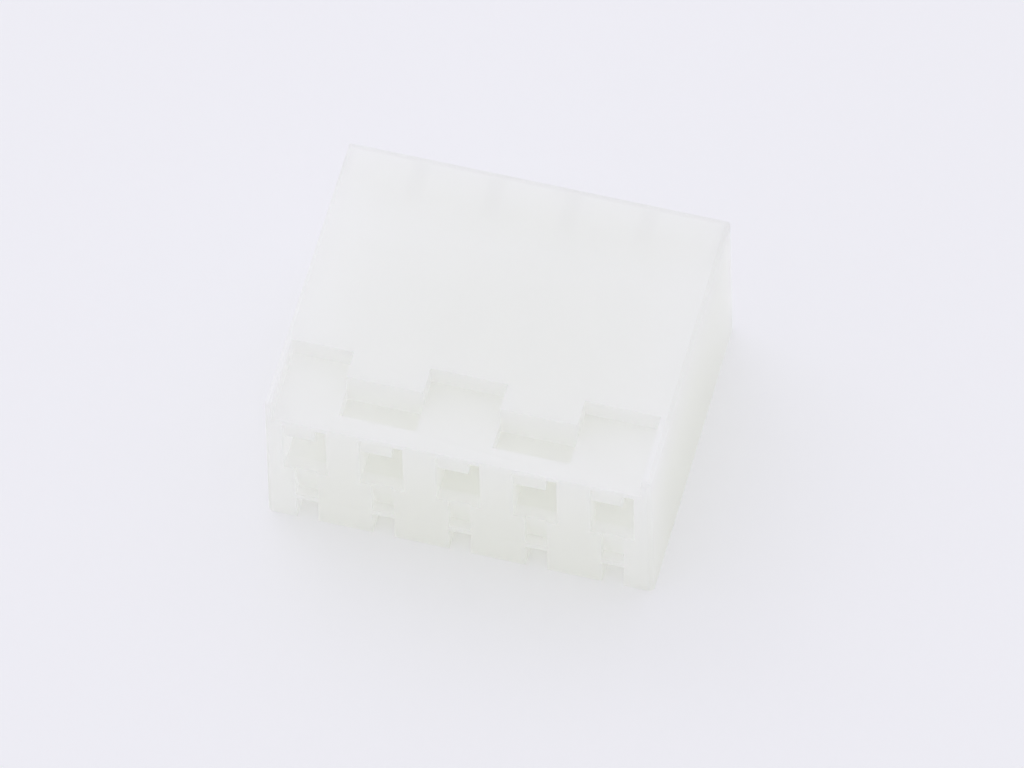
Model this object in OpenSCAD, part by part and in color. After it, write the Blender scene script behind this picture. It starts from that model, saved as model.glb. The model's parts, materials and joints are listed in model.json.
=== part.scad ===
// Five-circuit wire-to-board crimp housing, moulded in one piece.
// X runs along the circuits, -Y is the mating face, +Y the wire side, +Z the latch side.
// The origin is the middle of the underside. The modules draw with the mating face at Y = 0,
// and housing() moves the whole back by half the length.

/* [Circuits] */
// Number of circuits side by side
circuits = 5; // [2:1:8]
// Distance from one circuit to the next
pitch = 3.96; // [3.9:0.02:4.2]

/* [Body] */
// Length from the mating face to the wire side
body_len = 16.45; // [16.2:0.05:18]
// Height from the underside to the latch side
body_h = 9.75; // [9.7:0.05:10]
// How much further out each side stands at the underside than at the latch side
side_draft = 0.12; // [0:0.02:0.2]
// Flat broken along the outer edges, except round the underside, where the mould parts
edge_break = 0.2; // [0.1:0.05:0.25]
// Radius of the edge between the latch side and the wire side
rear_round = 0.5; // [0.3:0.05:0.6]

/* [Latch side] */
// Height of the lowered deck along the mating face
deck_z = 8.55; // [8.5:0.05:8.7]
// Length of the deck over the odd circuits
deck_len = 4.1; // [3.5:0.05:5]
// Length of the deck over the even circuits, up to the end of the latch pocket
pocket_end = 2.6; // [2.2:0.05:3]
// Thickness of the latch bar between the mating face and a latch pocket
bar_len = 1.05; // [0.9:0.05:1.3]
// Height of the floor of a latch pocket
pocket_z = 7.7; // [7.6:0.05:7.9]
// How far the latch side's features sit off the circuits, towards -X
latch_shift = 0.42; // [0:0.02:0.45]
// Thickness of the end wall left beside the deck on the +X side
end_wall = 0.48; // [0.4:0.02:0.6]
// Thickness of the end wall left beside the deck on the -X side
end_wall_left = 0.35; // [0.3:0.05:0.6]

/* [Mating face] */
// Thickness of the wall that the pins enter through
front_wall = 0.7; // [0.6:0.05:0.8]
// Width of a pin opening
pin_w = 2.26; // [1.8:0.02:2.4]
// Height of the lower edge of a pin opening
pin_z = 4.4; // [4:0.05:4.6]
// Height of the upper edge of a pin opening
pin_top = 6.85; // [6.6:0.05:7]
// Height of the top of the relief above a pin opening
relief_top = 8.25; // [8.1:0.05:8.3]
// Depth of that relief
relief_deep = 0.3; // [0.2:0.05:0.4]
// Width of the key slot at the +X side of the relief
key_w = 0.65; // [0.5:0.05:0.9]
// Width of the guide groove below a pin opening
groove_w = 1.14; // [0.9:0.02:1.3]
// Depth of the guide groove at its sill
groove_deep = 0.55; // [0.4:0.05:0.6]
// Depth that is left of the guide groove where it runs out into the pin opening
groove_end = 0.1; // [0.05:0.05:0.3]
// Height of the sill at the foot of the guide groove
sill_z = 2.05; // [1.95:0.05:2.2]

/* [Cavities] */
// Width of a contact chamber
chamber_w = 2.7; // [2.5:0.05:3]
// Height of the floor of a contact chamber
chamber_z = 3.3; // [3.1:0.05:3.7]
// Height of the ceiling of a contact chamber
chamber_top = 7.15; // [7:0.05:7.25]
// Width of a wire entry
entry_w = 3.1; // [3:0.02:3.3]
// Height of the floor of a wire entry
entry_z = 1.85; // [1.6:0.05:2.3]
// Height of the ceiling of a wire entry
entry_top = 8.7; // [8.3:0.05:8.75]
// Length of the wire entries, up to their slope
entry_len = 3.0; // [2.6:0.1:3.6]
// Length of the slope from a wire entry down to its contact chamber
slope_len = 0.9; // [0.6:0.1:1.2]
// Flare at the mouth of a wire entry
flare = 0.25; // [0.15:0.05:0.3]

/* [Release slots] */
// Width of a release slot in the underside
slot_w = 1.14; // [0.9:0.02:1.3]
// Height of a release slot at the mating face
slot_h = 1.7; // [1.5:0.05:1.8]
// Length of a release slot from the mating face
slot_len = 6.2; // [5.5:0.1:7]
// Length of the catch window at the end of a release slot
catch_len = 2.2; // [1.6:0.1:2.6]

/* [Hidden] */
$fn = 32;
body_w = circuits * pitch;
foot = body_w / 2 + side_draft;           // half the width at the underside
lean = atan(side_draft / (body_h - edge_break));  // angle of the sides
over = 1;                                 // how far a cutter runs past the face that it opens
fillet = 0.3;                             // radius in the corners of the wire entries
nylon = [0.93, 0.94, 0.89];
entry_start = body_len - entry_len;       // where the straight part of a wire entry begins
chamber_end = entry_start - slope_len;    // where the slope begins
chamber_mid = (chamber_z + chamber_top) / 2;

// Middle of circuit i, counted from the -X end
function circuit_x(i) = (i - (circuits - 1) / 2) * pitch;

// Edges between the latch side's features, counted from the -X end
function latch_x(i) = -body_w / 2 + i * pitch - latch_shift;

// Box from corner lo to corner hi
module span(lo, hi) {
    translate(lo)
        cube([hi[0] - lo[0], hi[1] - lo[1], hi[2] - lo[2]]);
}

// Outline in X and Z, drawn forward along Y from y0 to y1
module along_y(y0, y1) {
    translate([0, y1, 0])
        rotate([90, 0, 0])
            linear_extrude(y1 - y0)
                children();
}

// Outline in Y and Z, drawn along X over a width w about the middle
module across_x(w) {
    translate([-w / 2, 0, 0])
        rotate([90, 0, 90])
            linear_extrude(w)
                children();
}

// Rectangle w by h with round corners, centred
module round_rect(w, h, r) {
    square([w - 2 * r, h], center = true);
    square([w, h - 2 * r], center = true);
    for (sx = [-1, 1], sz = [-1, 1])
        translate([sx * (w / 2 - r), sz * (h / 2 - r)])
            circle(r);
}

// Outline of the block from the mating face: sharp feet, sides that lean in, broken shoulders
module end_outline() {
    polygon([
        [-foot, 0], [foot, 0], [body_w / 2, body_h - edge_break], [body_w / 2 - edge_break, body_h],
        [-body_w / 2 + edge_break, body_h], [-body_w / 2, body_h - edge_break]
    ]);
}

// Outline of the block from the side: broken over the mating face, round over the wire side
module side_outline() {
    polygon([
        [0, 0], [body_len, 0], [body_len, body_h - rear_round], [body_len - rear_round, body_h],
        [edge_break, body_h], [0, body_h - edge_break]
    ]);
    translate([body_len - rear_round, body_h - rear_round])
        circle(rear_round);
}

// Cutter for the upright edge at the +X end of the mating face: it leans in with the side
module corner_cutter() {
    translate([foot, 0, 0])
        rotate([0, -lean, 0])
            translate([0, 0, -over])
                linear_extrude(body_h + 2 * over)
                    polygon([[-edge_break - over, -over], [over, -over], [over, edge_break + over]]);
}

// Solid block that the cavities are cut from
module block() {
    difference() {
        intersection() {
            along_y(0, body_len)
                end_outline();
            across_x(2 * foot)
                side_outline();
        }
        for (end = [0, 1], face = [0, 1])
            translate([0, face * body_len, 0])
                mirror([end, 0, 0])
                    mirror([0, face, 0])
                        corner_cutter();
    }
}

// Lowered deck: long over the odd circuits, short over the even ones
module deck() {
    left = -body_w / 2 + end_wall_left;
    right = body_w / 2 - end_wall;
    span([left, -over, deck_z], [right, pocket_end, body_h + over]);
    for (i = [0 : 2 : circuits - 1])
        span([max(latch_x(i), left), -over, deck_z], [min(latch_x(i + 1), right), deck_len, body_h + over]);
}

// Latch pocket behind the bar of an even circuit
module latch_pocket(i) {
    span([latch_x(i), bar_len, pocket_z], [latch_x(i + 1), pocket_end, body_h + over]);
}

// Pin opening with its relief, key slot and guide groove
module pin_opening() {
    side = pin_w / 2;
    span([-side, -over, pin_z], [side, front_wall + over, pin_top]);
    span([-side, -over, pin_top - relief_deep], [side, relief_deep, relief_top]);
    span([side - key_w, -over, pin_top - relief_deep], [side, front_wall, relief_top]);
    across_x(groove_w)
        polygon([
            [-over, sill_z], [groove_deep, sill_z], [groove_end, pin_z], [groove_end, pin_z + over],
            [-over, pin_z + over]
        ]);
}

// Contact chamber, its slope and its wire entry
module cavity() {
    translate([0, 0, chamber_mid])
        along_y(front_wall, entry_start + over)
            square([chamber_w, chamber_top - chamber_z], center = true);
    slope();
    translate([0, 0, (entry_z + entry_top) / 2])
        along_y(entry_start, body_len + over)
            round_rect(entry_w, entry_top - entry_z, fillet);
    mouth();
}

// Slope that guides a contact from the wire entry into its chamber
module slope() {
    intersection() {
        across_x(entry_w)
            polygon([
                [chamber_end, chamber_z], [entry_start, entry_z + fillet],
                [entry_start, entry_top - fillet], [chamber_end, chamber_top]
            ]);
        linear_extrude(body_h)
            polygon([
                [-chamber_w / 2, chamber_end], [chamber_w / 2, chamber_end],
                [entry_w / 2, entry_start], [-entry_w / 2, entry_start]
            ]);
    }
}

// Flared mouth of a wire entry
module mouth() {
    half = entry_w / 2;
    inner = body_len - flare;
    outer = body_len + flare;
    intersection() {
        across_x(pitch)
            polygon([
                [inner, entry_z], [outer, entry_z - 2 * flare],
                [outer, entry_top + 2 * flare], [inner, entry_top]
            ]);
        linear_extrude(body_h + over)
            polygon([
                [-half, inner], [half, inner],
                [half + 2 * flare, outer], [-half - 2 * flare, outer]
            ]);
    }
}

// Slot in the underside, with the window that catches the contact's tang
module release_slot() {
    side = slot_w / 2;
    span([-side, -over, -over], [side, slot_len, slot_h]);
    span([-side, slot_len - catch_len, 0], [side, slot_len, chamber_z + over]);
}

module housing() {
    color(nylon)
        translate([0, -body_len / 2, 0])
            difference() {
                block();
                deck();
                for (i = [1 : 2 : circuits - 1])
                    latch_pocket(i);
                for (i = [0 : circuits - 1])
                    translate([circuit_x(i), 0, 0]) {
                        pin_opening();
                        cavity();
                        release_slot();
                    }
            }
}

housing();
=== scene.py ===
# A five-way crimp housing in natural nylon, lying empty on a pale table.
import json
import math

import bmesh
import bpy
from mathutils import Matrix, Vector


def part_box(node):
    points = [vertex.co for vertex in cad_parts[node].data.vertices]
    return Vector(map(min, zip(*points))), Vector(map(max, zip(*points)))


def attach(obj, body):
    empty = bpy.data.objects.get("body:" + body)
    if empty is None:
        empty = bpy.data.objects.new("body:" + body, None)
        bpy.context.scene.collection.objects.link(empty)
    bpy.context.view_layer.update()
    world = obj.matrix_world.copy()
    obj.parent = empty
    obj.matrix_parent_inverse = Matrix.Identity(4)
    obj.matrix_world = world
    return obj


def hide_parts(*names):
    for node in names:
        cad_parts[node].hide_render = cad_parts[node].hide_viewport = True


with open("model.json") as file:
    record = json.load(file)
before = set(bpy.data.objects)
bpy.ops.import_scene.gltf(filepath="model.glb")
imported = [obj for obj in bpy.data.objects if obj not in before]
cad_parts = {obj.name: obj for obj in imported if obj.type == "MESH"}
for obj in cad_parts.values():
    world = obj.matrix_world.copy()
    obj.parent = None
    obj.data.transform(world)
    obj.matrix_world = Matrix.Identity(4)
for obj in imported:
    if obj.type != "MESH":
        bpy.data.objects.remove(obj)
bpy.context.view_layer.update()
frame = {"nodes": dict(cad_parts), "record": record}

mm = 0.001  # metres in a millimetre
cadHousing = frame["nodes"]["housing"]
lowCorner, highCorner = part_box("housing")
mountPlace = {mount["name"]: mount["pos_m"] for mount in frame["record"]["mounts"]}
pitch = mountPlace["cavity_2"][0] - mountPlace["cavity_1"][0]  # from one circuit to the next
print("frame loaded")


# An output of a shader node that can be used in sums
class Signal:
    def __init__(self, maker, socket):
        self.maker = maker
        self.socket = socket

    def maths(self, operation, first, second=0.0):
        return self.maker.node("ShaderNodeMath", {"operation": operation}, {0: first, 1: second})

    def __add__(self, other):
        return self.maths("ADD", self, other)

    __radd__ = __add__

    def __sub__(self, other):
        return self.maths("SUBTRACT", self, other)

    def __rsub__(self, other):
        return self.maths("SUBTRACT", other, self)

    def __mul__(self, other):
        return self.maths("MULTIPLY", self, other)

    def cosine(self):
        return self.maths("COSINE", self)

    # The higher of the two at every place
    def atLeast(self, other):
        return self.maths("MAXIMUM", self, other)


# A node tree that is filled from nothing, one node at a time
class Maker:
    def __init__(self, tree):
        self.tree = tree
        tree.nodes.clear()

    def node(self, kind, settings=None, inputs=None, output=0):
        made = self.tree.nodes.new(kind)
        for name, value in (settings or {}).items():
            setattr(made, name, value)
        for key, value in (inputs or {}).items():
            if isinstance(value, Signal):
                self.tree.links.new(value.socket, made.inputs[key])
            else:
                made.inputs[key].default_value = value
        return Signal(self, made.outputs[output]) if len(made.outputs) else made

    # The X, Y and Z of a place, each as a signal
    def axes(self, place):
        apart = self.node("ShaderNodeSeparateXYZ", None, {0: place}).socket.node
        return [Signal(self, socket) for socket in apart.outputs]

    # Rises from 0 at start to 1 after width
    def ramp(self, value, start, width):
        return self.node("ShaderNodeMath", {"operation": "MULTIPLY", "use_clamp": True},
                         {0: value - start, 1: 1.0 / width})

    def noise(self, place, scale, detail):
        return self.node("ShaderNodeTexNoise", None, {"Vector": place, "Scale": scale, "Detail": detail})

    def mix(self, share, first, second):
        return self.node("ShaderNodeMix", {"data_type": "RGBA"}, {0: share, 6: first, 7: second}, 2)


def newMaterial(name):
    material = bpy.data.materials.new(name)
    material.use_nodes = True
    return material, Maker(material.node_tree)


# Painted shade: the Base Color is darkened along the rear rim and over the webs, where the translucent nylon
# gives less light back
rimShadeValues = {
    "paintedShade": (0.848, 0.842, 0.842, 1.0),   # painted shade colour along the rear rim, where the thin nylon gives less light back
    "rimWidth": 0.55 * mm,
    "rimFade": 0.25 * mm,
    "webShadeShare": 0.44,                      # how much of the painted shade lies over a web, beside the rim
    "webEdge": 0.62,                       # a wave that peaks over each web counts above this
    "webLength": 3.2 * mm,
    "webFade": 1.2 * mm,
    "depth": 0.9 * mm,                     # only the roof of the wire entries is affected
    "depthFade": 0.2 * mm,
}


# How near a place is to the rear rim, or to a web between two wire entries, from 0 to 1: the mask for the
# painted shade
def paintedRimShade(make, place, values):
    x, y, z = make.axes(place)
    wave = (x * (2.0 * math.pi / pitch)).cosine() * -1.0
    overWeb = make.ramp(wave, values["webEdge"], 1.0 - values["webEdge"])
    alongWeb = make.ramp(y, highCorner.y - values["webLength"], values["webFade"])
    rim = make.ramp(y, highCorner.y - values["rimWidth"], values["rimFade"])
    roof = make.ramp(z, highCorner.z - values["depth"], values["depthFade"])
    return (overWeb * alongWeb * values["webShadeShare"]).atLeast(rim) * roof


throughValues = {
    "wallShare": 0.69,                     # how much of the light passes through a wall
    "roofShare": 0.52,                     # and through the roof, which is thicker over the contact chambers
    "roofDepth": 1.4 * mm,                 # from the top down to the deck
    "depthFade": 0.2 * mm,
    "thinLength": 4.6 * mm,                # the roof thins again along the wire entries
    "thinFade": 2.4 * mm,
}


# How much of the light that meets a place passes through it
def passingShare(make, place, values):
    y, z = make.axes(place)[1:]
    roof = make.ramp(z, highCorner.z - values["roofDepth"], values["depthFade"])
    thick = 1.0 - make.ramp(y, highCorner.y - values["thinLength"], values["thinFade"])
    return values["wallShare"] - roof * thick * (values["wallShare"] - values["roofShare"])


nylonValues = {
    "clear": (0.997, 0.9995, 0.984, 1.0),  # where the resin is clearer
    "milky": (0.998, 0.9995, 0.988, 1.0),  # where it is cloudier
    "throughColour": (0.997, 0.9995, 0.983, 1.0),  # light that comes through
    "cloudsPerMetre": 260.0,
    "cloudDetail": 3.0,
    "grainPerMetre": 5200.0,               # fine spark-eroded texture of the mould
    "grainDetail": 2.0,
    "grainHeight": 0.0035 * mm,
    "ripplePerMetre": 420.0,               # slow sinks over the webs and walls
    "rippleDetail": 1.0,
    "rippleHeight": 0.02 * mm,
    "roughness": 0.36,
    "roughnessSpread": 0.10,
    "ior": 1.53,
}


def nylon(values):
    material, make = newMaterial("naturalNylon")
    place = make.node("ShaderNodeTexCoord", output=3)  # Object
    clouds = make.noise(place, values["cloudsPerMetre"], values["cloudDetail"])
    grain = make.noise(place, values["grainPerMetre"], values["grainDetail"])
    ripple = make.noise(place, values["ripplePerMetre"], values["rippleDetail"])
    height = grain * values["grainHeight"] + ripple * values["rippleHeight"]
    cloudy = make.mix(clouds, values["clear"], values["milky"])
    returned = make.node("ShaderNodeBsdfPrincipled", None, {
        # the Base Color carries painted shade along the rear rim and over the webs
        "Base Color": make.mix(paintedRimShade(make, place, rimShadeValues), cloudy, rimShadeValues["paintedShade"]),
        "Roughness": values["roughness"] + (grain - 0.5) * values["roughnessSpread"],
        "Normal": make.node("ShaderNodeBump", None, {"Strength": 1.0, "Distance": 1.0, "Height": height}),
        "IOR": values["ior"],
    })
    passed = make.node("ShaderNodeBsdfTranslucent", None, {"Color": values["throughColour"]})
    surface = make.node("ShaderNodeMixShader", None,
                        {0: passingShare(make, place, throughValues), 1: returned, 2: passed})
    make.node("ShaderNodeOutputMaterial", None, {"Surface": surface})
    return material


housingValues = {
    "mergeDistance": 0.002 * mm,
    "flatAngle": 0.5,            # degrees: faces that differ by less are one face
    "edgeRadius": 0.07 * mm,     # rounding that the mould leaves on every corner
    "edgeAngle": 28.0,           # degrees: edges sharper than this are rounded
    "edgeSteps": 3,
}


def mouldedHousing(values):
    mesh = bpy.data.meshes.new("mouldedHousing")
    solid = bmesh.new()
    solid.from_mesh(cadHousing.data)
    bmesh.ops.remove_doubles(solid, verts=solid.verts, dist=values["mergeDistance"])
    bmesh.ops.dissolve_limit(solid, angle_limit=math.radians(values["flatAngle"]),
                             verts=solid.verts, edges=solid.edges)
    bmesh.ops.recalc_face_normals(solid, faces=solid.faces)
    solid.to_mesh(mesh)
    solid.free()
    piece = bpy.data.objects.new("mouldedHousing", mesh)
    bpy.context.scene.collection.objects.link(piece)
    rounding = piece.modifiers.new("rounding", "BEVEL")
    rounding.width = values["edgeRadius"]
    rounding.segments = values["edgeSteps"]
    rounding.limit_method = "ANGLE"
    rounding.angle_limit = math.radians(values["edgeAngle"])
    rounding.harden_normals = True
    rounding.use_clamp_overlap = True
    mesh.shade_smooth()
    mesh.materials.append(nylon(nylonValues))
    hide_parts("housing")
    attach(piece, "root")


mouldedHousing(housingValues)
print("housing finished")


tableValues = {
    "colour": (0.962, 0.962, 0.962, 1.0),
    "roughness": 0.9,
    "reach": 1.0,                # metres from the housing to the edge of the table
    "sides": 96,
    "gap": 0.01 * mm,            # keeps the table's face off the housing's underside
}


def table(values):
    mesh = bpy.data.meshes.new("table")
    disc = bmesh.new()
    bmesh.ops.create_circle(disc, cap_ends=True, radius=values["reach"], segments=values["sides"],
                            matrix=Matrix.Translation((0, 0, lowCorner.z - values["gap"])))
    disc.to_mesh(mesh)
    disc.free()
    piece = bpy.data.objects.new("table", mesh)
    bpy.context.scene.collection.objects.link(piece)
    material, make = newMaterial("paleTable")
    surface = make.node("ShaderNodeBsdfPrincipled", None, {
        "Base Color": values["colour"], "Roughness": values["roughness"], "Specular IOR Level": 0.0})
    make.node("ShaderNodeOutputMaterial", None, {"Surface": surface})
    mesh.materials.append(material)


table(tableValues)
print("table laid")


lightValues = {
    "brightSide": (0.980, 0.969, 1.105, 1.0),  # sky behind the housing and to its left
    "dimSide": (0.754, 0.755, 0.745, 1.0),     # sky opposite
    "towardsBright": (-0.57, 0.82, 0.0),
    "backdropColour": (0.84, 0.85, 0.89, 1.0),
    "lampFrom": (-0.55, 0.45, 0.60),   # metres from the housing, to its left and behind
    "lampSide": 0.6,                   # metres
    "lampPower": 0.3,                  # watts
    "bounces": 64,                     # enough for light to cross every wall of the housing
}


def lights(values):
    scene = bpy.context.scene
    world = bpy.data.worlds.new("studio")
    scene.world = world
    world.use_nodes = True
    make = Maker(world.node_tree)
    seen = make.node("ShaderNodeLightPath")  # Is Camera Ray
    direction = make.node("ShaderNodeTexCoord")  # Generated, which is the direction in a world
    across = make.node("ShaderNodeVectorMath", {"operation": "DOT_PRODUCT"},
                       {0: direction, 1: values["towardsBright"]}, 1)
    turned = across * 0.5 + 0.5  # from 0 on the dim side to 1 on the bright side
    shade = make.mix(turned, values["dimSide"], values["brightSide"])
    sky = make.node("ShaderNodeBackground", None, {"Color": shade, "Strength": 1.0})
    backdrop = make.node("ShaderNodeBackground", None, {"Color": values["backdropColour"], "Strength": 1.0})
    both = make.node("ShaderNodeMixShader", None, {0: seen, 1: sky, 2: backdrop})
    make.node("ShaderNodeOutputWorld", None, {"Surface": both})
    lamp = bpy.data.lights.new("softWindow", "AREA")
    lamp.shape = "SQUARE"
    lamp.size = values["lampSide"]
    lamp.energy = values["lampPower"]
    holder = bpy.data.objects.new("softWindow", lamp)
    holder.location = values["lampFrom"]
    holder.rotation_mode = "QUATERNION"
    holder.rotation_quaternion = (-holder.location).to_track_quat("-Z", "Y")
    scene.collection.objects.link(holder)
    scene.cycles.max_bounces = values["bounces"]
    scene.cycles.diffuse_bounces = values["bounces"]
    scene.cycles.glossy_bounces = values["bounces"]
    scene.cycles.transmission_bounces = values["bounces"]


lights(lightValues)
print("lights set")


cameraValues = {
    "azimuth": 16.05,            # degrees round from the mating face, towards +X
    "elevation": 56.906,         # degrees above the table
    "roll": -1.647,              # degrees
    "distance": 0.594,           # metres
    "aim": (0.772 * mm, -0.637 * mm, 4.332 * mm),
    "lens": 415.5,               # millimetres
    "sensorWidth": 36.0,         # millimetres
    "nearest": 0.05,             # metres
    "farthest": 5.0,             # metres
}


def camera(values):
    turn = math.radians(values["azimuth"])
    rise = math.radians(values["elevation"])
    back = Vector((math.sin(turn) * math.cos(rise), -math.cos(turn) * math.cos(rise), math.sin(rise)))
    level = Vector((math.cos(turn), math.sin(turn), 0.0))
    across = Matrix.Rotation(math.radians(values["roll"]), 3, back) @ level
    upward = back.cross(across)
    lens = bpy.data.cameras.new("camera")
    lens.lens = values["lens"]
    lens.sensor_width = values["sensorWidth"]
    lens.clip_start = values["nearest"]
    lens.clip_end = values["farthest"]
    holder = bpy.data.objects.new("camera", lens)
    place = Vector(values["aim"]) + back * values["distance"]
    axes = Matrix((across, upward, back)).transposed().to_4x4()
    holder.matrix_world = Matrix.Translation(place) @ axes
    bpy.context.scene.collection.objects.link(holder)
    bpy.context.scene.camera = holder


camera(cameraValues)
bpy.context.scene.view_settings.view_transform = "Standard"
print("camera placed")
